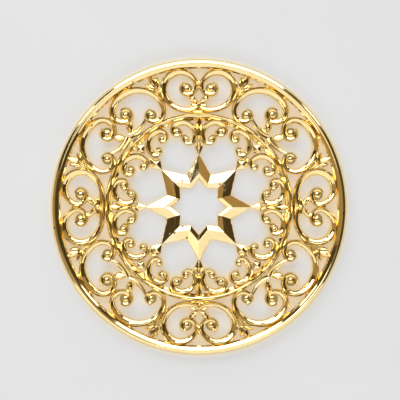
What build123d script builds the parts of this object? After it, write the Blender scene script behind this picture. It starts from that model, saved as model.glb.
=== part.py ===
"""A round openwork rosette in polished brass, built like soldered filigree.

A ridged rim and a thin inner ring hold four kinds of rolled scrolls, leaves and
buds, and an eight-pointed faceted star with an open middle. The pattern repeats
eight times: each piece is made once, in the eighth between north (+Y) and
north-east, and is then turned and mirrored into place. Neighbours are trimmed
against each other, so they meet face to face, as soldered strips do.

The rosette lies on its back: z = 0 is the rim's flat underside, +Z faces up.
"""
from build123d import *
import os

os.makedirs("parts", exist_ok=True)

# ---------------------------------------------------------------- driving sizes (mm)
rim_radius = 40.0
rim_crest_radius = 38.8
rim_inner_radius = 37.7
rim_flange_radius = 37.3
rim_height = 3.2
rim_outer_wall = 1.5
rim_inner_wall = 1.9
rim_flange_height = 1.3
rim_bulge = 0.12            # how far the rim's two slopes swell outwards

ring_outer_radius = 25.4
ring_crest_radius = 24.7
ring_inner_radius = 24.0
ring_flange_radius = 23.4
ring_height = 2.6
ring_wall = 1.6
ring_flange_height = 1.1

work_bottom = 0.4           # everything inside the rim hangs clear of the table
work_height = 2.6           # crest of the scrolls

outer_band_edge = 0.6       # crest to the steep outer edge, for the scrolls of the outer band
inner_band_edge = 0.5       # and for the closer curled ones inside the ring
scroll_outer_wall = 1.9
scroll_lip = 1.4            # height of the thin lip on the inside of the curl
eye_floor = 1.0             # thickness of the web under each eye

star_tip_radius = 14.24
star_tip_height = 1.6
star_height = 2.6
star_axis_crest = 9.2       # inner end of the ridge on the four axis arms
star_diagonal_crest = 9.64  # and on the four diagonal ones
star_crest_foot = 7.5       # where the inner bevel under a ridge reaches the bottom
star_valley = (3.18, 8.53)
star_valley_height = 1.2
star_inner_valley = (2.48, 6.2)
star_inner_root = (2.1, 4.8)

bud_height = 2.3
bud_widest = 0.55           # where along its length a bud is widest
bar_height = 2.0
gem_girdle = 1.2
gem_height = 2.4

quarter = 90
diagonal = Plane(origin=(0, 0, 0), x_dir=(1, 1, 0), z_dir=(-1, 1, 0))


# ---------------------------------------------------------------- shared helpers
def placed(master, eighth):
    """The master piece in one of the eight eighths, counted clockwise from north."""
    copy = master.mirror(diagonal) if eighth % 2 else master
    return copy.rotate(Axis.Z, -quarter * (eighth // 2))


def through(a, b, c):
    """The plane through three points, facing up."""
    normal = (Vector(b) - Vector(a)).cross(Vector(c) - Vector(a))
    if normal.Z < 0:
        normal = -normal
    return Plane(origin=a, z_dir=normal)


def height_on(plane, x, y):
    """How high a plane stands over the point x, y."""
    away = plane.origin - Vector(x, y, 0)
    return away.dot(plane.z_dir) / plane.z_dir.Z


def scroll(start, heading, turns, widths, edge, eyes):
    """A rolled strip along tangent arcs that all curl clockwise.

    turns holds (radius, degrees) pairs, and widths the strip's width inside its
    crest at the start and after each turn. edge is its width outside the crest.
    eyes holds (turn, ball radius) pairs: where the strip wraps a ball, and how big.
    """
    with BuildLine() as spine:
        arc = None
        stations = []
        centres = []
        for radius, degrees in turns:
            if arc is None:
                arc = JernArc(start, Vector(1, 0).rotate(Axis.Z, heading), radius, -degrees)
                stations.append((arc @ 0, arc % 0))
            else:
                arc = JernArc(arc @ 1, arc % 1, radius, -degrees)
            stations.append((arc @ 1, arc % 1))
            centres.append(arc.arc_center)
    sections = []
    for (point, direction), width in zip(stations, widths):
        across = Vector(-direction.Y, direction.X, 0)
        with BuildSketch(Plane(origin=point, x_dir=across, z_dir=direction)) as section:
            with BuildLine():
                Polyline(
                    (-width, work_bottom),
                    (edge, work_bottom),
                    (edge, scroll_outer_wall),
                    (0, work_height),
                    (-width, scroll_lip),
                    close=True,
                )
            make_face()
        sections.append(section.sketch.face())
    with BuildPart() as strip:
        sweep(sections=sections, path=spine.line, multisection=True)
        for turn, ball_radius in eyes:
            with Locations(centres[turn]):
                with Locations((0, 0, work_bottom)):
                    Cylinder(turns[turn][0], eye_floor, align=(Align.CENTER, Align.CENTER, Align.MIN))
                    Cylinder(ball_radius, work_height - ball_radius - work_bottom,
                             align=(Align.CENTER, Align.CENTER, Align.MIN))
                with Locations((0, 0, work_height - ball_radius)):
                    Sphere(ball_radius)
    return strip.part


def gem(outline, apex):
    """A pyramid with a low girdle: one sloping facet for each side of the outline."""
    sides = list(zip(outline, outline[1:] + outline[:1]))
    with BuildPart() as stone:
        with BuildSketch(Plane.XY.offset(work_bottom)):
            with BuildLine():
                Polyline(*outline, close=True)
            make_face()
        extrude(amount=gem_height - work_bottom)
        for a, b in sides:
            split(bisect_by=through((*a, gem_girdle), (*b, gem_girdle), apex), keep=Keep.BOTTOM)
    return stone.part


def bud(stem, tip, width):
    """A small pointed leaf from stem to tip, widest past its middle, raised to a blunt point."""
    along = Vector(tip) - Vector(stem)
    across = Vector(-along.Y, along.X, 0).normalized() * (width / 2)
    widest = Vector(stem) + along * bud_widest
    outline = [Vector(stem), widest - across, Vector(tip), widest + across]
    return gem([(corner.X, corner.Y) for corner in outline], (widest.X, widest.Y, bud_height))


def save(builder, name):
    builder.part.label = name
    export_step(builder.part, f"parts/{name}.step")


# ---------------------------------------------------------------- rim and ring
with BuildPart() as outer_rim:
    with BuildSketch(Plane.XZ):
        with BuildLine():
            Polyline(
                (rim_crest_radius, 0),
                (rim_radius, 0),
                (rim_radius, rim_outer_wall),
            )
            SagittaArc((rim_radius, rim_outer_wall), (rim_crest_radius, rim_height), -rim_bulge)
            SagittaArc((rim_crest_radius, rim_height), (rim_inner_radius, rim_inner_wall), -rim_bulge)
            Polyline(
                (rim_inner_radius, rim_inner_wall),
                (rim_inner_radius, rim_flange_height),
                (rim_flange_radius, rim_flange_height),
                (rim_flange_radius, 0),
                (rim_crest_radius, 0),
            )
        make_face()
    revolve(axis=Axis.Z)
save(outer_rim, "outer_rim")

with BuildPart() as inner_ring:
    with BuildSketch(Plane.XZ):
        with BuildLine():
            Polyline(
                (ring_flange_radius, work_bottom),
                (ring_outer_radius, work_bottom),
                (ring_outer_radius, ring_wall),
                (ring_crest_radius, ring_height),
                (ring_inner_radius, ring_wall),
                (ring_inner_radius, ring_flange_height),
                (ring_flange_radius, ring_flange_height),
                close=True,
            )
        make_face()
    revolve(axis=Axis.Z)
save(inner_ring, "inner_ring")

# ---------------------------------------------------------------- star
# Half of an axis arm and half of a diagonal arm share the valley between them. The
# height of the diagonal arm's ridge follows, because its facet must meet the valley.
axis_tip = (0, star_tip_radius, star_tip_height)
axis_crest = (0, star_axis_crest, star_height)
valley = (*star_valley, star_valley_height)
axis_facet = through(axis_tip, axis_crest, valley)
inner_valley = (*star_inner_valley, height_on(axis_facet, *star_inner_valley))
axis_bevel = through(axis_crest, (0, star_crest_foot, work_bottom), inner_valley)


def on_diagonal(radius):
    """The point on the north-east diagonal at this radius."""
    point = Vector(radius, 0).rotate(Axis.Z, 45)
    return point.X, point.Y


diagonal_tip_xy = on_diagonal(star_tip_radius)
diagonal_crest_xy = on_diagonal(star_diagonal_crest)
diagonal_foot_xy = on_diagonal(star_crest_foot)
diagonal_facet = through((*diagonal_tip_xy, star_tip_height), valley, inner_valley)
diagonal_crest = (*diagonal_crest_xy, height_on(diagonal_facet, *diagonal_crest_xy))
diagonal_bevel = through(diagonal_crest, (*diagonal_foot_xy, work_bottom), inner_valley)


def half_arm(tip, foot, facet, bevel):
    """Half of one arm of the star, from its ridge to the valley beside it."""
    with BuildPart() as half:
        with BuildSketch(Plane.XY.offset(work_bottom)):
            with BuildLine():
                Polyline(tip, star_valley, star_inner_root, foot, close=True)
            make_face()
        extrude(amount=star_height)
        split(bisect_by=facet, keep=Keep.BOTTOM)
        split(bisect_by=bevel, keep=Keep.BOTTOM)
    return half.part


axis_half = half_arm(axis_tip[:2], (0, star_crest_foot), axis_facet, axis_bevel)
diagonal_half = half_arm(diagonal_tip_xy, diagonal_foot_xy, diagonal_facet, diagonal_bevel)
with BuildPart() as star:
    for eighth in range(8):
        add(placed(axis_half, eighth))
        add(placed(diagonal_half, eighth))
save(star, "star")

# ---------------------------------------------------------------- outer band
with BuildPart() as crown_scroll:
    add(scroll(
        start=(3.8, 33.3),
        heading=-19,
        turns=[(1.5, 126), (2.0, 40), (2.5, 101), (4.7, 98), (4.9, 92), (6.7, 83), (3.2, 31)],
        widths=[0.7, 0.8, 0.8, 0.8, 1.6, 1.3, 0.7, 0.5],
        edge=outer_band_edge,
        eyes=[(0, 1.1)],
    ))
    split(bisect_by=Plane.YZ, keep=Keep.TOP)
    add([outer_rim.part, inner_ring.part], mode=Mode.SUBTRACT)

with BuildPart() as corner_scroll:
    add(scroll(
        start=(13.0, 26.1),
        heading=-5,
        turns=[(1.4, 123), (2.4, 78), (3.1, 84), (7.5, 95), (7.9, 41), (3.3, 133), (2.0, 83), (1.6, 123)],
        widths=[0.7, 0.8, 0.8, 0.9, 1.6, 1.3, 1.0, 0.8, 0.7],
        edge=outer_band_edge,
        eyes=[(0, 1.1), (7, 1.2)],
    ))
    split(bisect_by=diagonal, keep=Keep.TOP)
    add([outer_rim.part, inner_ring.part, crown_scroll.part], mode=Mode.SUBTRACT)

with BuildPart() as rim_leaf:
    add(bud(stem=(9.9, 28.6), tip=(12.2, 32.4), width=1.3))
    add(bud(stem=(11.9, 31.6), tip=(10.9, 33.8), width=1.1))
    add(bud(stem=(11.9, 31.6), tip=(13.3, 35.8), width=1.5))
    add(bud(stem=(11.9, 31.6), tip=(14.2, 32.2), width=1.2))
    add([outer_rim.part, crown_scroll.part, corner_scroll.part], mode=Mode.SUBTRACT)

# ---------------------------------------------------------------- inner band
with BuildPart() as axis_spear:
    add(bud(stem=(0, 21.4), tip=(0, 24.4), width=1.3))
    with BuildSketch(Plane.XY.offset(work_bottom)):
        with Locations((0, 19.6)):
            Rectangle(0.8, 5.2)
    extrude(amount=bar_height - work_bottom)
    add(gem([(0, 17.9), (1.25, 15.9), (0, 13.7), (-1.25, 15.9)], apex=(0, 15.9, gem_height)))
    add([inner_ring.part, star.part], mode=Mode.SUBTRACT)

with BuildPart() as ray_gems:
    add(gem([(10.0, 10.0), (10.4, 12.7), (13.4, 13.4), (12.7, 10.4)], apex=(11.5, 11.5, gem_height)))
    add(gem([(14.5, 14.5), (14.8, 16.7), (16.7, 16.7), (16.7, 14.8)], apex=(15.7, 15.7, gem_height)))
    add([inner_ring.part, star.part], mode=Mode.SUBTRACT)

with BuildPart() as heart_scroll:
    add(scroll(
        start=(3.4, 19.2),
        heading=3,
        turns=[(0.9, 111), (1.6, 122), (3.4, 70), (3.8, 90), (2.1, 108), (1.2, 142)],
        widths=[0.5, 0.6, 0.8, 1.1, 1.2, 0.8, 0.6],
        edge=inner_band_edge,
        eyes=[(0, 0.9), (5, 0.9)],
    ))
    add([inner_ring.part, star.part, axis_spear.part], mode=Mode.SUBTRACT)

with BuildPart() as petal_scroll:
    add(scroll(
        start=(10.4, 19.0),
        heading=-38,
        turns=[(0.8, 110), (1.2, 120), (2.0, 93), (3.6, 63), (3.8, 77), (1.7, 98), (0.8, 157)],
        widths=[0.5, 0.6, 0.7, 1.1, 1.3, 1.1, 0.6, 0.4],
        edge=inner_band_edge,
        eyes=[(0, 0.9), (6, 0.8)],
    ))
    split(bisect_by=diagonal, keep=Keep.TOP)
    add([inner_ring.part, star.part, ray_gems.part, heart_scroll.part], mode=Mode.SUBTRACT)

# ---------------------------------------------------------------- knots that tie the scrolls
with BuildPart() as axis_knot:
    with BuildSketch(Plane.XY.offset(work_bottom)):
        with Locations((0, 33.2)):
            Rectangle(1.4, 2.0)
    extrude(amount=scroll_outer_wall - work_bottom)
    with BuildSketch(Plane.XY.offset(work_bottom)):
        with Locations((0, 25.8)):
            Rectangle(9.0, 1.6)
    extrude(amount=eye_floor)
    for side in (1, -1):
        add(bud(stem=(side * 2.6, 29.5), tip=(side * 0.4, 27.6), width=1.1))
        add(bud(stem=(side * 2.4, 27.3), tip=(side * 0.1, 27.3), width=1.1))
    add([outer_rim.part, inner_ring.part], mode=Mode.SUBTRACT)
    add([crown_scroll.part, crown_scroll.part.mirror(Plane.YZ)], mode=Mode.SUBTRACT)

with BuildPart() as diagonal_knot:
    for mirrored in (False, True):
        half = [
            bud(stem=(18.6, 22.5), tip=(18.0, 19.6), width=1.1),
            bud(stem=(14.3, 22.9), tip=(16.0, 20.4), width=1.1),
            bud(stem=(15.6, 21.0), tip=(19.4, 18.6), width=1.3),
        ]
        add([piece.mirror(diagonal) for piece in half] if mirrored else half)
    add([inner_ring.part, corner_scroll.part, corner_scroll.part.mirror(diagonal)], mode=Mode.SUBTRACT)

# ---------------------------------------------------------------- copies and export
for eighth in range(8):
    for name, master in (
        ("crown_scroll", crown_scroll),
        ("corner_scroll", corner_scroll),
        ("rim_leaf", rim_leaf),
        ("heart_scroll", heart_scroll),
        ("petal_scroll", petal_scroll),
    ):
        with BuildPart() as copy:
            add(placed(master.part, eighth))
        save(copy, f"{name}_{eighth + 1}")

for turn in range(4):
    for name, master in (
        ("axis_spear", axis_spear),
        ("ray_gems", ray_gems),
        ("axis_knot", axis_knot),
        ("diagonal_knot", diagonal_knot),
    ):
        with BuildPart() as copy:
            add(placed(master.part, 2 * turn))
        save(copy, f"{name}_{turn + 1}")
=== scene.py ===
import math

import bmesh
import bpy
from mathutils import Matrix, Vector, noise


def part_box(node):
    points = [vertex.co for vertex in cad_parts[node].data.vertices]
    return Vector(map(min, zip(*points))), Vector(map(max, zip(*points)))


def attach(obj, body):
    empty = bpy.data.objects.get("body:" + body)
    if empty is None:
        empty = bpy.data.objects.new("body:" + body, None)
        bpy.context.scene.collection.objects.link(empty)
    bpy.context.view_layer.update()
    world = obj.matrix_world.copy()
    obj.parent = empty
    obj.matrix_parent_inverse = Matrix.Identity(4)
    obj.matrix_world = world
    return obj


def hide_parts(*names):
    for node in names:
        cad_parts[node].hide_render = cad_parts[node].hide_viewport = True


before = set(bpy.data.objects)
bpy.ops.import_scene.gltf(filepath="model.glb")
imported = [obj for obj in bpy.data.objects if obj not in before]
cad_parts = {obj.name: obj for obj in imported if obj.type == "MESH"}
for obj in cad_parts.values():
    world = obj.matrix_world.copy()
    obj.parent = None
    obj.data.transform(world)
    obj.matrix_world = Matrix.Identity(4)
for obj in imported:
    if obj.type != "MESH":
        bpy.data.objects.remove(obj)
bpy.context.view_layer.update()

# %% [markdown]
# # An openwork rosette in polished brass
#
# The object is a round rosette, 80 mm across, that lies flat on its back. A ridged rim
# and a thin inner ring hold rolled scrolls, small leaves and an eight-pointed star with
# an open middle. The pattern repeats eight times, so each kind of piece is modelled
# once, in the eighth between north (+Y) and north-east, and then turned and mirrored
# into its eight places.
#
# The frame already holds the exact solids. This lesson replaces each of them with a
# finished mesh: the same outline, but with the rounded crests, thin lips, creases and
# polish that a casting has after hours on a buffing wheel.

rim_low, rim_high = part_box("outer_rim")
rim_radius = (rim_high.x - rim_low.x) / 2
unit = rim_radius / 40
print("rim radius", round(rim_radius, 4), "m, so one design unit is", round(unit, 5), "m")

# %% [markdown]
# ## Camera and room
#
# The rosette is seen from straight above with a long lens, so the rim stays round and
# the walls hardly show. A short lens would lean every wall outwards. The room is what
# polished metal shows, so it matters more here than any colour: a very bright window
# wall to the north, softer cream panels to the south, a dim brown wall to the west, and
# nothing at all to the east or straight above.

# %% The camera
lens_mm = 200
sensor_mm = 36
frame_radii = 2.708                  # width of the view, in rim radii
view_east = 0.007                    # the middle of the view, in rim radii
view_north = 0.047

camera_data = bpy.data.cameras.new("camera")
camera_data.lens = lens_mm
camera_data.sensor_width = sensor_mm
camera_data.clip_start = 0.01
camera_data.clip_end = 10
camera = bpy.data.objects.new("camera", camera_data)
bpy.context.scene.collection.objects.link(camera)
bpy.context.scene.camera = camera
distance = frame_radii * rim_radius * lens_mm / sensor_mm
camera.location = (view_east * rim_radius, view_north * rim_radius, distance)
print("camera stands", round(distance, 3), "m above the table")

# %% The light panels and the dark world
room = 10 * rim_radius               # a handy length for placing the panels


def light_panel(name, centre, size, facing, brightness, colour, seen_in_metal=True):
    """A soft rectangular lamp. brightness is what a perfect mirror would show."""
    data = bpy.data.lights.new(name, "AREA")
    data.shape = "RECTANGLE"
    data.size = size[0] * room
    data.size_y = size[1] * room
    data.energy = math.pi * data.size * data.size_y * brightness
    data.color = colour
    lamp = bpy.data.objects.new(name, data)
    lamp.location = Vector(centre) * room
    lamp.rotation_euler = Vector(facing).to_track_quat("-Z", "Y").to_euler()
    lamp.visible_camera = False
    lamp.visible_glossy = seen_in_metal
    bpy.context.scene.collection.objects.link(lamp)
    return lamp


north = (0, -1, 0)
south = (0, 1, 0)
east = (1, 0, 0)
down = (0, 0, -1)
daylight = (1.0, 1.0, 1.0)
cream = (1.0, 0.98, 0.95)
brown = (1.0, 0.66, 0.31)
olive = (1.0, 0.90, 0.55)
light_panel("window_wall", (0, 2.25, 0.62), (3.2, 1.2), north, 2.8, daylight)
light_panel("window_west_end", (-1.94, 1.57, 0.42), (0.45, 0.5), (1.94, -1.57, 0), 2.4, daylight)
light_panel("window_east_end", (1.94, 1.57, 0.42), (0.45, 0.5), (-1.94, -1.57, 0), 2.4, daylight)
light_panel("window_top", (-0.66, 1.328, 1.25), (2.4, 1.126), down, 4.0, daylight)
light_panel("south_ceiling", (0, -1.46, 1.25), (4.5, 1.82), down, 0.97, cream)
light_panel("south_wall", (0, -2.3, 0.62), (7.4, 1.2), south, 0.97, cream)
light_panel("west_wall", (-1.12, -0.35, 0.7), (1.3, 1.3), east, 0.30, brown)
light_panel("east_ceiling", (1.3, 1.3, 1.25), (1.6, 1.5), down, 0.32, brown)
light_panel("ceiling_middle", (0.15, 0.05, 1.25), (1.0, 1.0), down, 0.24, olive)
light_panel("south_fill", (0, -1.6, 1.2), (3.0, 1.0), down, 3.0, daylight, seen_in_metal=False)

overhead = bpy.data.lights.new("overhead_fill", "SUN")
overhead.energy = 4.85
overhead.color = (0.99, 0.99, 1.0)
overhead.angle = math.radians(12)
overhead_lamp = bpy.data.objects.new("overhead_fill", overhead)
overhead_lamp.visible_glossy = False
bpy.context.scene.collection.objects.link(overhead_lamp)

world = bpy.data.worlds.new("studio")
world.use_nodes = True
bpy.context.scene.world = world
background = world.node_tree.nodes["Background"]
light_path = world.node_tree.nodes.new("ShaderNodeLightPath")
backdrop = world.node_tree.nodes.new("ShaderNodeMix")
backdrop.data_type = "RGBA"
backdrop.inputs["A"].default_value = (0.065, 0.046, 0.022, 1)
backdrop.inputs["B"].default_value = (0.78, 0.78, 0.79, 1)
world.node_tree.links.new(light_path.outputs["Is Camera Ray"], backdrop.inputs["Factor"])
world.node_tree.links.new(backdrop.outputs["Result"], background.inputs["Color"])
bpy.context.scene.view_settings.view_transform = "Standard"

# %% [markdown]
# ## The brass
#
# Brass that has been polished is almost a mirror, and nearly all that one sees of it is
# the room. What gives it away as a casting is small: a slow ripple that the wheel
# leaves, a fine grain, a few pits, and a paler, smoother crest where it rubs hardest.
# The hollows are also painted a deeper amber, which is painted shade in the creases.
# All the brass pieces share these effects in one node group, and each material then
# sets how strong they are.

# %% The node group for a polished casting
def add_node(tree, kind, **values):
    """A node with its settings and its inputs' starting values."""
    node = tree.nodes.new(kind)
    for key, value in values.items():
        if key in node.inputs:
            node.inputs[key].default_value = value
        else:
            setattr(node, key, value)
    return node


def make_casting_group():
    """Masks and a height that change over the surface of a polished casting."""
    group = bpy.data.node_groups.new("polished_casting", "ShaderNodeTree")
    socket = group.interface.new_socket
    socket("Place", in_out="INPUT", socket_type="NodeSocketVector")
    for name in ("Ripple Scale", "Grain Scale", "Pit Scale", "Pit Amount"):
        socket(name, in_out="INPUT", socket_type="NodeSocketFloat")
    for name in ("Crest", "Hollow Shade", "Cloud", "Pits", "Height"):
        socket(name, in_out="OUTPUT", socket_type="NodeSocketFloat")
    taken = group.nodes.new("NodeGroupInput")
    given = group.nodes.new("NodeGroupOutput")
    link = group.links.new

    ripple = add_node(group, "ShaderNodeTexNoise", Detail=2.0, Roughness=0.4)
    grain = add_node(group, "ShaderNodeTexNoise", Detail=3.0, Roughness=0.6)
    cloud = add_node(group, "ShaderNodeTexNoise", Scale=220.0, Detail=4.0, Roughness=0.6)
    pit = add_node(group, "ShaderNodeTexVoronoi")
    for texture in (ripple, grain, cloud, pit):
        link(taken.outputs["Place"], texture.inputs["Vector"])
    link(taken.outputs["Ripple Scale"], ripple.inputs["Scale"])
    link(taken.outputs["Grain Scale"], grain.inputs["Scale"])
    link(taken.outputs["Pit Scale"], pit.inputs["Scale"])

    chance = add_node(group, "ShaderNodeSeparateColor")
    link(pit.outputs["Color"], chance.inputs["Color"])
    chosen = add_node(group, "ShaderNodeMath", operation="LESS_THAN")
    link(chance.outputs["Red"], chosen.inputs[0])
    link(taken.outputs["Pit Amount"], chosen.inputs[1])
    dimple = add_node(group, "ShaderNodeMapRange", interpolation_type="SMOOTHSTEP")
    dimple.inputs["From Min"].default_value = 0.12
    dimple.inputs["From Max"].default_value = 0.36
    dimple.inputs["To Min"].default_value = 1.0
    dimple.inputs["To Max"].default_value = 0.0
    link(pit.outputs["Distance"], dimple.inputs["Value"])
    pits = add_node(group, "ShaderNodeMath", operation="MULTIPLY")
    link(dimple.outputs["Result"], pits.inputs[0])
    link(chosen.outputs["Value"], pits.inputs[1])

    shape = add_node(group, "ShaderNodeNewGeometry")
    crest = add_node(group, "ShaderNodeMapRange", interpolation_type="SMOOTHSTEP")
    crest.inputs["From Min"].default_value = 0.52
    crest.inputs["From Max"].default_value = 0.60
    # Painted shade: low pointiness marks the hollows and creases, which the materials tint a deeper amber.
    hollow_shade = add_node(group, "ShaderNodeMapRange", interpolation_type="SMOOTHSTEP")
    hollow_shade.inputs["From Min"].default_value = 0.49
    hollow_shade.inputs["From Max"].default_value = 0.42
    link(shape.outputs["Pointiness"], crest.inputs["Value"])
    link(shape.outputs["Pointiness"], hollow_shade.inputs["Value"])

    fine = add_node(group, "ShaderNodeMath", operation="MULTIPLY_ADD")
    link(grain.outputs["Fac"], fine.inputs[0])
    fine.inputs[1].default_value = 0.03
    link(ripple.outputs["Fac"], fine.inputs[2])
    height = add_node(group, "ShaderNodeMath", operation="MULTIPLY_ADD")
    link(pits.outputs["Value"], height.inputs[0])
    height.inputs[1].default_value = -1.2
    link(fine.outputs["Value"], height.inputs[2])

    link(crest.outputs["Result"], given.inputs["Crest"])
    link(hollow_shade.outputs["Result"], given.inputs["Hollow Shade"])
    link(cloud.outputs["Fac"], given.inputs["Cloud"])
    link(pits.outputs["Value"], given.inputs["Pits"])
    link(height.outputs["Value"], given.inputs["Height"])
    return group


casting_group = make_casting_group()
print("casting group has", len(casting_group.nodes), "nodes")

# %% The brass itself
def mix_colour(tree, factor, a, b):
    """Mix two colours, each a tuple or another node's colour, by a factor socket."""
    mix = tree.nodes.new("ShaderNodeMix")
    mix.data_type = "RGBA"
    tree.links.new(factor, mix.inputs["Factor"])
    for name, colour in (("A", a), ("B", b)):
        if isinstance(colour, tuple):
            mix.inputs[name].default_value = (*colour, 1)
        else:
            tree.links.new(colour, mix.inputs[name])
    return mix.outputs["Result"]


def brass(name, gold, amber, pale, ripple_scale, ripple_depth, pit_amount, smooth, rough):
    """Polished brass: gold on the whole, amber in clouds, amber painted shade in hollows, pale on crests."""
    material = bpy.data.materials.new(name)
    material.use_nodes = True
    tree = material.node_tree
    shader = tree.nodes["Principled BSDF"]
    shader.inputs["Metallic"].default_value = 1.0
    place = tree.nodes.new("ShaderNodeTexCoord")
    casting = tree.nodes.new("ShaderNodeGroup")
    casting.node_tree = casting_group
    casting.inputs["Ripple Scale"].default_value = ripple_scale
    casting.inputs["Grain Scale"].default_value = 5200.0
    casting.inputs["Pit Scale"].default_value = 900.0
    casting.inputs["Pit Amount"].default_value = pit_amount
    tree.links.new(place.outputs["Object"], casting.inputs["Place"])

    patch = add_node(tree, "ShaderNodeMapRange", interpolation_type="SMOOTHSTEP")
    patch.inputs["From Min"].default_value = 0.42
    patch.inputs["From Max"].default_value = 0.72
    tree.links.new(casting.outputs["Cloud"], patch.inputs["Value"])
    clouded = mix_colour(tree, patch.outputs["Result"], gold, amber)
    # Painted shade: the hollows are mixed towards the amber colour.
    with_painted_shade = mix_colour(tree, casting.outputs["Hollow Shade"], clouded, amber)
    rubbed = mix_colour(tree, casting.outputs["Crest"], with_painted_shade, pale)
    pitted = mix_colour(tree, casting.outputs["Pits"], rubbed, (0.20, 0.10, 0.03))
    tree.links.new(pitted, shader.inputs["Base Color"])

    polish = add_node(tree, "ShaderNodeMapRange")
    polish.inputs["From Min"].default_value = 0.3
    polish.inputs["From Max"].default_value = 0.8
    polish.inputs["To Min"].default_value = smooth
    polish.inputs["To Max"].default_value = rough
    tree.links.new(casting.outputs["Cloud"], polish.inputs["Value"])
    tree.links.new(polish.outputs["Result"], shader.inputs["Roughness"])

    bump = add_node(tree, "ShaderNodeBump", Strength=1.0, Distance=ripple_depth)
    tree.links.new(casting.outputs["Height"], bump.inputs["Height"])
    tree.links.new(bump.outputs["Normal"], shader.inputs["Normal"])
    return material


# The amber colours tint random clouds, and they also tint the hollows as painted shade.
gold_colour = (0.99, 0.82, 0.44)
amber_cloud_and_shade_colour = (0.95, 0.76, 0.37)
pale_colour = (1.0, 0.86, 0.56)
rim_brass = brass("rim_brass", gold_colour, amber_cloud_and_shade_colour, pale_colour, 400.0, 0.00002, 0.02, 0.06, 0.13)
ring_brass = brass("ring_brass", gold_colour, amber_cloud_and_shade_colour, pale_colour, 500.0, 0.00002, 0.02, 0.07, 0.14)
star_brass = brass("star_brass", gold_colour, amber_cloud_and_shade_colour, pale_colour, 210.0, 0.00005, 0.05, 0.04, 0.09)
scroll_brass = brass("scroll_brass", gold_colour, amber_cloud_and_shade_colour, pale_colour, 600.0, 0.00003, 0.02, 0.06, 0.13)
leaf_brass = brass("leaf_brass", gold_colour, (0.94, 0.71, 0.30), pale_colour, 900.0, 0.00003, 0.03, 0.08, 0.16)

# %% The tabletop
def make_tabletop():
    """A wide pale sheet, a hair below the rosette's flat back, with warm bounce light from the brass painted on
    it.
    """
    half_width = 25 * rim_radius
    bm = bmesh.new()
    bmesh.ops.create_grid(bm, x_segments=1, y_segments=1, size=half_width)
    mesh = bpy.data.meshes.new("tabletop")
    bm.to_mesh(mesh)
    bm.free()
    top = bpy.data.objects.new("tabletop", mesh)
    top.location.z = rim_low.z
    bpy.context.scene.collection.objects.link(top)
    paper = bpy.data.materials.new("table_paper")
    paper.use_nodes = True
    shader = paper.node_tree.nodes["Principled BSDF"]
    shader.inputs["Roughness"].default_value = 0.75
    shader.inputs["Specular IOR Level"].default_value = 0.15
    fibre = add_node(paper.node_tree, "ShaderNodeTexNoise", Scale=90.0, Detail=3.0)
    shade = mix_colour(paper.node_tree, fibre.outputs["Fac"], (0.287, 0.292, 0.298), (0.297, 0.302, 0.308))
    # Painted bounce light and shade: close to the brass, in its gaps and along its walls, the paper is mixed
    # towards a warm tan that stands in for light thrown off the brass.
    nearby = add_node(paper.node_tree, "ShaderNodeAmbientOcclusion", Distance=0.16 * rim_radius)
    nearby.samples = 12
    painted_bounce_mask = add_node(paper.node_tree, "ShaderNodeMapRange", interpolation_type="SMOOTHSTEP")
    painted_bounce_mask.inputs["From Min"].default_value = 0.82
    painted_bounce_mask.inputs["From Max"].default_value = 0.2
    paper.node_tree.links.new(nearby.outputs["AO"], painted_bounce_mask.inputs["Value"])
    paper_with_painted_bounce = mix_colour(paper.node_tree, painted_bounce_mask.outputs["Result"], shade, (0.41, 0.322, 0.195))
    paper.node_tree.links.new(paper_with_painted_bounce, shader.inputs["Base Color"])
    mesh.materials.append(paper)


make_tabletop()

# %% [markdown]
# ## How each piece is finished
#
# Every master piece is a bmesh in design units. `finish` puts a copy of it in its
# eighth: odd eighths are mirrored across the north-east diagonal, then every pair is a
# quarter turn on from the last. Mirroring turns a mesh inside out, so its normals are
# worked out again. A casting is never quite regular, so each copy is also pushed about
# by a slow noise of a few hundredths of a unit, which makes all eight a little
# different.

# %% Placing and finishing
quarter = math.radians(90)
swap_axes = Matrix(((0, 1, 0, 0), (1, 0, 0, 0), (0, 0, 1, 0), (0, 0, 0, 1)))


def eighth_matrix(eighth):
    """Where the master piece goes in this eighth, counted clockwise from north."""
    turn = Matrix.Rotation(-quarter * (eighth // 2), 4, "Z")
    return turn @ swap_axes if eighth % 2 else turn


def finish(master, name, node, material, eighth=0, wobble=0.05, smooth_below=34):
    """Place a copy of the master, link it to the root body, and hide the solid it stands for."""
    bm = master.copy()
    bmesh.ops.transform(bm, matrix=eighth_matrix(eighth), verts=bm.verts)
    for vert in bm.verts:
        push = noise.noise_vector(vert.co * 0.35) * wobble
        vert.co += Vector((push.x, push.y, 0))
    bmesh.ops.scale(bm, vec=(unit, unit, unit), verts=bm.verts)
    bmesh.ops.recalc_face_normals(bm, faces=bm.faces)
    for face in bm.faces:
        face.smooth = smooth_below > 0
    mesh = bpy.data.meshes.new(name)
    bm.to_mesh(mesh)
    bm.free()
    if smooth_below > 0:
        mesh.set_sharp_from_angle(angle=math.radians(smooth_below))
    mesh.materials.append(material)
    piece = bpy.data.objects.new(name, mesh)
    bpy.context.scene.collection.objects.link(piece)
    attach(piece, "root")
    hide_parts(node)
    return piece


def close_ends(bm):
    """Fill every open loop, such as the two ends of a strip."""
    open_edges = [edge for edge in bm.edges if edge.is_boundary]
    bmesh.ops.holes_fill(bm, edges=open_edges, sides=0)


def soften(bm, offset, angle, segments=2):
    """Bevel the edges that turn by more than an angle, as polishing rounds them."""
    sharp = [edge for edge in bm.edges if edge.is_manifold and edge.calc_face_angle() > math.radians(angle)]
    bmesh.ops.bevel(bm, geom=sharp, offset=offset, offset_type="OFFSET", affect="EDGES",
                    segments=segments, profile=0.5, material=-1, clamp_overlap=True)


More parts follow.
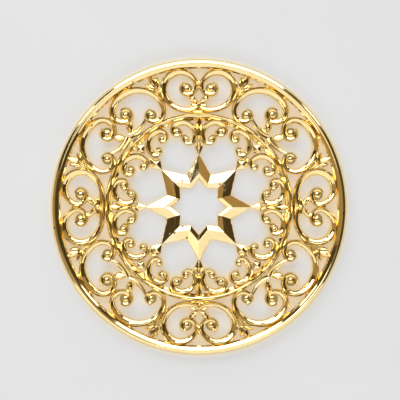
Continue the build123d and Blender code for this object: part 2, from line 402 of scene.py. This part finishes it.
# %% [markdown]
# ## Rim and ring
#
# Both are turned shapes: a section drawn once in the plane through the axis and spun
# round it. The rim's ridge has two swelling slopes that meet in a crest, and a low
# flange on its inside carries the scrolls. A torus would have no crest. The spin runs
# the full circle, with its ends merged, and then the ridge lines are softened.

# %% Spinning a section
def spun(section, steps):
    """A closed ring from its section, given as (radius, height) points."""
    bm = bmesh.new()
    verts = [bm.verts.new((radius, 0, height)) for radius, height in section]
    edges = [bm.edges.new((a, b)) for a, b in zip(verts, verts[1:] + verts[:1])]
    bmesh.ops.spin(bm, geom=verts + edges, cent=(0, 0, 0), axis=(0, 0, 1), dvec=(0, 0, 0),
                   angle=math.tau, steps=steps, use_merge=True, use_duplicate=False)
    bmesh.ops.remove_doubles(bm, verts=bm.verts, dist=0.001)
    return bm


rim_section = [
    (37.5, 0), (40, 0), (40, 1.9), (39.93, 2.2), (39.78, 2.44), (39.4, 2.81), (38.98, 3.15), (38.88, 3.2),
    (38.74, 3.2), (38.65, 3.15), (38.2, 2.82), (37.8, 2.42), (37.76, 2.25), (37.72, 1.55), (37.5, 1.35),
]
rim = spun(rim_section, steps=240)
finish(rim, "polished_rim", "outer_rim", rim_brass, wobble=0, smooth_below=28)

ring_section = [
    (23.4, 0.4), (25.4, 0.4), (25.33, 1.95), (25.25, 2.15), (24.84, 2.57), (24.8, 2.6),
    (24.64, 2.6), (24.6, 2.57), (24.15, 2.2), (24.05, 2.0), (24.0, 1.45), (23.4, 1.0),
]
ring = spun(ring_section, steps=180)
finish(ring, "polished_ring", "inner_ring", ring_brass, wobble=0, smooth_below=28)
print("rim", len(rim.faces), "faces, ring", len(ring.faces), "faces")

# %% [markdown]
# ## The star
#
# Each of the eight arms is a roof: two sloping facets that meet on a ridge, cut off
# towards the open middle by two bevels. The facets must stay flat, because a flat
# facet reflects one patch of the room and so reads as one tone, and that is what makes
# the star sparkle. So it is built from its corners, not from a smoothed shape: one
# eighth is a handful of points, and mirroring and turning make the rest.

# %% The corners of one eighth
floor_height = 0.4
star_tip = 14.24
axis_tip = Vector((0, star_tip, 1.6))
axis_crest = Vector((0, 9.2, 2.6))
axis_foot = Vector((0, 7.7, 1.63))
valley = Vector((3.18, 8.53, 1.2))
inner_valley = Vector((2.48, 6.2, 2.0))
inner_root = Vector((2.2, 5.0, 1.08))
north_east = Vector((1, 1, 0)).normalized()
diagonal_tip = north_east * star_tip + Vector((0, 0, 1.6))
diagonal_crest = north_east * 9.64 + Vector((0, 0, 2.47))
diagonal_foot = north_east * 7.4 + Vector((0, 0, 1.25))


def make_star():
    """One eighth from its corners, then mirrored and turned into the whole star."""
    bm = bmesh.new()
    corner = {}
    for name, place in (
        ("tip", axis_tip), ("crest", axis_crest), ("foot", axis_foot),
        ("valley", valley), ("inner", inner_valley), ("root", inner_root),
        ("far_tip", diagonal_tip), ("far_crest", diagonal_crest), ("far_foot", diagonal_foot),
    ):
        corner[name] = bm.verts.new(place)
    for face in (
        ("tip", "crest", "inner", "valley"),
        ("crest", "foot", "root", "inner"),
        ("far_tip", "valley", "inner", "far_crest"),
        ("far_crest", "inner", "root", "far_foot"),
    ):
        bm.faces.new([corner[name] for name in face])
    whole = bm.verts[:] + bm.edges[:] + bm.faces[:]
    bmesh.ops.mirror(bm, geom=whole, axis="X", merge_dist=0.001)
    whole = bm.verts[:] + bm.edges[:] + bm.faces[:]
    bmesh.ops.spin(bm, geom=whole, cent=(0, 0, 0), axis=(0, 0, 1), angle=3 * quarter,
                   steps=3, use_duplicate=True, use_merge=False)
    bmesh.ops.remove_doubles(bm, verts=bm.verts, dist=0.01)
    brink = [edge for edge in bm.edges if edge.is_boundary]
    walls = bmesh.ops.extrude_edge_only(bm, edges=brink)
    for vert in (item for item in walls["geom"] if isinstance(item, bmesh.types.BMVert)):
        vert.co.z = floor_height
    underside = [edge for edge in bm.edges if edge.is_boundary]
    bmesh.ops.bridge_loops(bm, edges=underside)
    return bm


star = make_star()
soften(star, offset=0.07, angle=12)
finish(star, "faceted_star", "star", star_brass, wobble=0.06, smooth_below=0)
print("star", len(star.faces), "faces, open edges", sum(edge.is_boundary for edge in star.edges))

# %% [markdown]
# ## Rolled scrolls
#
# A scroll is a strip of brass on edge, rolled up at its ends like a fern. Its section
# has a rounded crest, a short steep slope outside, and a wide bevel inside that ends in
# a thin upright lip. The width grows towards the middle of the scroll and shrinks again
# into each curl. A curve with a bevel object could follow the same line, but its
# section can't change shape. So the section is drawn once and extruded a few degrees
# at a time, each new loop turned about the centre of its arc. The points inside the
# crest carry a mark, and after each step those are scaled a little about the crest, so
# the bevel widens while the crest and the outer edge keep their shape.

# %% Extruding a section along arcs
FIXED = 0                            # marks on the points of a section
BEVEL = 1
FOOT = 2
work_height = 2.6


def swept(section, start, heading, turns, widths, degrees_per_step=5):
    """Extrude a section along tangent arcs that curl clockwise, or the other way if negative.

    The section is (across, height, mark) points, across being positive on the left of
    the way forward. Marked points are scaled from one width to the next.
    """
    bm = bmesh.new()
    marks = bm.verts.layers.int.new("mark")
    forward = Matrix.Rotation(math.radians(heading), 3, "Z") @ Vector((1, 0, 0))
    left = Vector((-forward.y, forward.x, 0))
    point = Vector((*start, 0))
    loop = []
    for across, height, mark in section:
        reach = across * widths[0] if mark else across
        drop = (height - work_height) * widths[0] + work_height if mark == BEVEL else height
        vert = bm.verts.new(point + left * reach + Vector((0, 0, drop)))
        vert[marks] = mark
        loop.append(vert)
    edges = [bm.edges.new((a, b)) for a, b in zip(loop, loop[1:] + loop[:1])]
    centres = []
    for (radius, degrees), before, after in zip(turns, widths, widths[1:]):
        side = 1 if degrees > 0 else -1
        centre = point - left * radius * side
        centres.append(centre)
        steps = max(3, round(abs(degrees) / degrees_per_step))
        spin = Matrix.Rotation(math.radians(-degrees / steps), 3, "Z")
        for step in range(steps):
            made = bmesh.ops.extrude_edge_only(bm, edges=edges)["geom"]
            verts = [item for item in made if isinstance(item, bmesh.types.BMVert)]
            edges = [item for item in made if isinstance(item, bmesh.types.BMEdge)]
            bmesh.ops.rotate(bm, verts=verts, cent=centre, matrix=spin)
            point = centre + spin @ (point - centre)
            left = spin @ left
            grow = (before + (after - before) * (step + 1) / steps) / (before + (after - before) * step / steps)
            crest = Matrix.Translation(-point - Vector((0, 0, work_height)))
            bevel = [vert for vert in verts if vert[marks] == BEVEL]
            foot = [vert for vert in verts if vert[marks] == FOOT]
            bmesh.ops.scale(bm, vec=(grow, grow, grow), space=crest, verts=bevel)
            bmesh.ops.scale(bm, vec=(grow, grow, 1), space=crest, verts=foot)
    close_ends(bm)
    return bm, centres


def strip_section(edge):
    """The rolled strip: rounded crest, steep outer slope, wide inner bevel, thin lip."""
    return [
        (edge, floor_height, FIXED), (edge - 0.02, 1.2, FIXED), (edge - 0.12, 2.0, FIXED),
        (edge - 0.17, 2.14, FIXED), (0.13, 2.55, FIXED), (0.09, 2.60, FIXED), (-0.09, 2.60, FIXED),
        (-0.13, 2.57, FIXED), (-0.36, work_height - 0.16, BEVEL), (-0.60, work_height - 0.32, BEVEL),
        (-0.80, work_height - 0.50, BEVEL), (-0.90, work_height - 0.66, BEVEL),
        (-0.97, work_height - 1.0, BEVEL), (-1.0, floor_height, FOOT),
    ]


def add_eye(bm, centre, web_radius, ball_radius):
    """The ball that a scroll curls round, and the thin web that holds it."""
    web_height = 1.2
    web = Matrix.Translation(centre + Vector((0, 0, floor_height + web_height / 2)))
    bmesh.ops.create_cone(bm, cap_ends=True, segments=36, radius1=web_radius, radius2=web_radius,
                          depth=web_height, matrix=web)
    ball = Matrix.Translation(centre + Vector((0, 0, work_height - ball_radius)))
    bmesh.ops.create_uvsphere(bm, u_segments=28, v_segments=18, radius=ball_radius, matrix=ball)


def make_scroll(edge, start, heading, turns, widths, eyes):
    """A strip with its eyes; eyes holds (turn, ball radius) pairs."""
    bm, centres = swept(strip_section(edge), start, heading, turns, widths)
    for turn, ball_radius in eyes:
        add_eye(bm, centres[turn], turns[turn][0], ball_radius)
    return bm


def trim(bm, plane_normal):
    """Cut away what lies beyond a plane through the middle, and close the cut."""
    whole = bm.verts[:] + bm.edges[:] + bm.faces[:]
    bmesh.ops.bisect_plane(bm, geom=whole, plane_co=(0, 0, 0), plane_no=plane_normal,
                           clear_outer=True, dist=0.0001)
    close_ends(bm)


# %% The four kinds of scroll
west_side = (-1, 0, 0)
east_of_diagonal = (1, -1, 0)
outer_edge = 0.6
inner_edge = 0.5

crown_scroll = make_scroll(
    outer_edge, start=(3.8, 33.3), heading=-19,
    turns=[(1.5, 126), (2.0, 40), (2.5, 101), (4.7, 98), (4.9, 92), (6.7, 83), (3.2, 31)],
    widths=[0.7, 0.8, 0.8, 0.8, 1.6, 1.3, 0.7, 0.5],
    eyes=[(0, 1.05)],
)
trim(crown_scroll, west_side)

corner_scroll = make_scroll(
    outer_edge, start=(13.0, 26.1), heading=-5,
    turns=[(1.4, 123), (2.4, 78), (3.1, 84), (7.5, 95), (7.9, 41), (3.3, 133), (2.0, 83), (1.6, 123)],
    widths=[0.7, 0.8, 0.8, 0.9, 1.6, 1.3, 1.0, 0.8, 0.7],
    eyes=[(0, 0.9), (7, 1.0)],
)
trim(corner_scroll, east_of_diagonal)

heart_scroll = make_scroll(
    inner_edge, start=(3.4, 19.2), heading=3,
    turns=[(0.9, 111), (1.6, 122), (3.4, 70), (3.8, 90), (2.1, 108), (1.2, 142)],
    widths=[0.5, 0.6, 0.8, 1.1, 1.2, 0.8, 0.6],
    eyes=[(0, 0.75), (5, 0.82)],
)

petal_scroll = make_scroll(
    inner_edge, start=(10.4, 19.0), heading=-38,
    turns=[(0.8, 110), (1.2, 120), (2.0, 93), (3.6, 63), (3.8, 77), (1.7, 98), (0.8, 157)],
    widths=[0.5, 0.6, 0.7, 1.1, 1.3, 1.1, 0.6, 0.4],
    eyes=[(0, 0.76), (6, 0.76)],
)
trim(petal_scroll, east_of_diagonal)

for kind, scroll in (
    ("crown_scroll", crown_scroll), ("corner_scroll", corner_scroll),
    ("heart_scroll", heart_scroll), ("petal_scroll", petal_scroll),
):
    print(kind, len(scroll.faces), "faces")
    for eighth in range(8):
        finish(scroll, f"rolled_{kind}_{eighth + 1}", f"{kind}_{eighth + 1}",
               scroll_brass, eighth)

# %% [markdown]
# ## Leaves, buds and gems
#
# The small parts fill the gaps between scrolls. A bud or a leaf lobe starts as a round
# ball, pressed into a pointed oval: its width follows a smooth curve from stem to tip,
# and a crease is pushed in, or a keel pulled up, along its middle. A ball already has
# clean round sides, which would take many loops to add to a flat outline. A gem is
# different: it was cut in the mould with flat sides, so it is a pyramid with softened
# edges.

# %% Lobes, ribs and gems
def add_lobe(bm, stem, tip, width, height=2.3, keel=0.7, fullness=0.45):
    """A pointed oval from stem to tip. keel, from 0 to 1, draws it up to a ridge."""
    along = Vector((*tip, 0)) - Vector((*stem, 0))
    made = bmesh.ops.create_uvsphere(bm, u_segments=24, v_segments=20, radius=1.0)["verts"]
    bmesh.ops.rotate(bm, verts=made, cent=(0, 0, 0), matrix=Matrix.Rotation(quarter, 3, "Y"))
    for vert in made:
        place = (vert.co.x + 1) / 2
        taper = 1 - 0.5 * abs(place - fullness) / max(fullness, 1 - fullness)
        roof = max(0.0, math.sqrt(1 - vert.co.x ** 2) - abs(vert.co.y))
        if vert.co.z > 0:
            vert.co.z = ((1 - keel) * vert.co.z + keel * roof) * (0.7 + 0.3 * taper)
        vert.co.y *= taper
    rise = 0.42 * width
    shoulder = height - rise
    for vert in made:
        vert.co.z *= rise if vert.co.z > 0 else shoulder - floor_height
    bmesh.ops.scale(bm, vec=(along.length / 2, width / 2, 1), verts=made)
    turn = Matrix.Rotation(math.atan2(along.y, along.x), 4, "Z")
    middle = Vector((*stem, shoulder)) + along / 2
    bmesh.ops.transform(bm, matrix=Matrix.Translation(middle) @ turn, verts=made)


rib_section = [
    (0.5, floor_height, FOOT), (0.48, work_height - 0.9, BEVEL), (0.43, work_height - 0.62, BEVEL),
    (0.22, work_height - 0.42, BEVEL), (0.05, work_height - 0.32, BEVEL), (-0.05, work_height - 0.32, BEVEL),
    (-0.22, work_height - 0.42, BEVEL), (-0.43, work_height - 0.62, BEVEL),
    (-0.48, work_height - 0.9, BEVEL), (-0.5, floor_height, FOOT),
]


def add_rib(bm, start, heading, turns, widths):
    """A slim half-round wire along arcs, thinning and thickening with its widths."""
    wire, centres = swept(rib_section, start, heading, turns, widths, degrees_per_step=6)
    mesh = bpy.data.meshes.new("rib")
    wire.to_mesh(mesh)
    wire.free()
    bm.from_mesh(mesh)
    bpy.data.meshes.remove(mesh)


def add_gem(bm, outline, apex, girdle):
    """A pyramid on an outline: sunk walls up to the girdle, then one facet a side."""
    stone = bmesh.new()
    base = stone.faces.new([stone.verts.new((x, y, floor_height)) for x, y in outline])
    grown = bmesh.ops.extrude_face_region(stone, geom=[base])["geom"]
    top = next(item for item in grown if isinstance(item, bmesh.types.BMFace))
    bmesh.ops.translate(stone, vec=(0, 0, girdle - floor_height), verts=top.verts)
    peak = bmesh.ops.poke(stone, faces=[top])["verts"][0]
    peak.co = Vector(apex)
    bmesh.ops.recalc_face_normals(stone, faces=stone.faces)
    soften(stone, offset=0.07, angle=20)
    mesh = bpy.data.meshes.new("gem")
    stone.to_mesh(mesh)
    stone.free()
    bm.from_mesh(mesh)
    bpy.data.meshes.remove(mesh)


# %% Rim leaves
rim_leaf = bmesh.new()
stem_way = Vector((2.2, 2.9)).normalized()
stem_side = Vector((stem_way.y, -stem_way.x))
for sideways in (-0.5, 0.0, 0.5):
    stem = Vector((9.7, 29.7)) + stem_side * sideways
    add_lobe(rim_leaf, stem, stem + stem_way * 3.4, width=0.62, height=1.9, keel=0.2)
add_lobe(rim_leaf, (11.3, 32.0), (11.5, 35.0), width=1.3)
add_lobe(rim_leaf, (11.7, 32.0), (13.6, 36.2), width=1.9, height=2.5)
add_lobe(rim_leaf, (11.5, 31.8), (14.6, 33.0), width=1.2)
add_lobe(rim_leaf, (11.5, 31.3), (14.2, 32.0), width=1.0, height=2.1)
for inner, outer in (((18.0, 31.3), (18.95, 32.95)), ((22.35, 28.3), (23.55, 29.8))):
    add_lobe(rim_leaf, inner, outer, width=1.5, height=1.7, keel=0.5)
for eighth in range(8):
    finish(rim_leaf, f"three_lobed_leaf_{eighth + 1}", f"rim_leaf_{eighth + 1}",
           leaf_brass, eighth)

# %% Spears and ray gems in the inner band
axis_spear = bmesh.new()
add_lobe(axis_spear, (0, 24.6), (0, 17.8), width=1.75, height=2.5, keel=0.85, fullness=0.35)
add_gem(axis_spear, [(0, 18.4), (1.2, 16.4), (0, 13.8), (-1.2, 16.4)], (0, 16.4, 2.5), girdle=1.65)

ray_gems = bmesh.new()
add_gem(ray_gems, [(10.0, 10.0), (10.4, 12.7), (13.4, 13.4), (12.7, 10.4)], (11.5, 11.5, 2.5), girdle=1.55)
add_gem(ray_gems, [(14.5, 14.5), (14.8, 16.7), (16.7, 16.7), (16.7, 14.8)], (15.7, 15.7, 2.5), girdle=1.85)

# %% Knots that tie the scrolls
axis_knot = bmesh.new()
bead = Matrix.Translation((0, 33.2, 1.1)) @ Matrix.Diagonal((0.7, 1.3, 0.9, 1))
bmesh.ops.create_uvsphere(axis_knot, u_segments=20, v_segments=14, radius=1, matrix=bead)
add_lobe(axis_knot, (-4.6, 25.9), (4.6, 25.9), width=1.5, height=1.9, keel=0.9)
for side in (1, -1):
    add_lobe(axis_knot, (side * 2.9, 30.3), (side * 0.0, 27.7), width=1.6, height=2.4, fullness=0.35)
    add_lobe(axis_knot, (side * 2.5, 27.1), (side * 0.0, 27.9), width=1.4, height=2.4, fullness=0.35)

diagonal_knot = bmesh.new()
for mirrored in (False, True):
    half = bmesh.new()
    add_lobe(half, (18.9, 23.4), (18.4, 19.6), width=2.1, height=2.4, keel=0.45, fullness=0.5)
    add_rib(half, (14.5, 23.6), -73, [(6.4, -57)], [0.6, 2.3])
    if mirrored:
        bmesh.ops.transform(half, matrix=swap_axes, verts=half.verts)
    mesh = bpy.data.meshes.new("half_knot")
    half.to_mesh(mesh)
    half.free()
    diagonal_knot.from_mesh(mesh)
    bpy.data.meshes.remove(mesh)

for kind, master in (
    ("axis_spear", axis_spear), ("ray_gems", ray_gems),
    ("axis_knot", axis_knot), ("diagonal_knot", diagonal_knot),
):
    for turn in range(4):
        finish(master, f"polished_{kind}_{turn + 1}", f"{kind}_{turn + 1}",
               leaf_brass, 2 * turn)
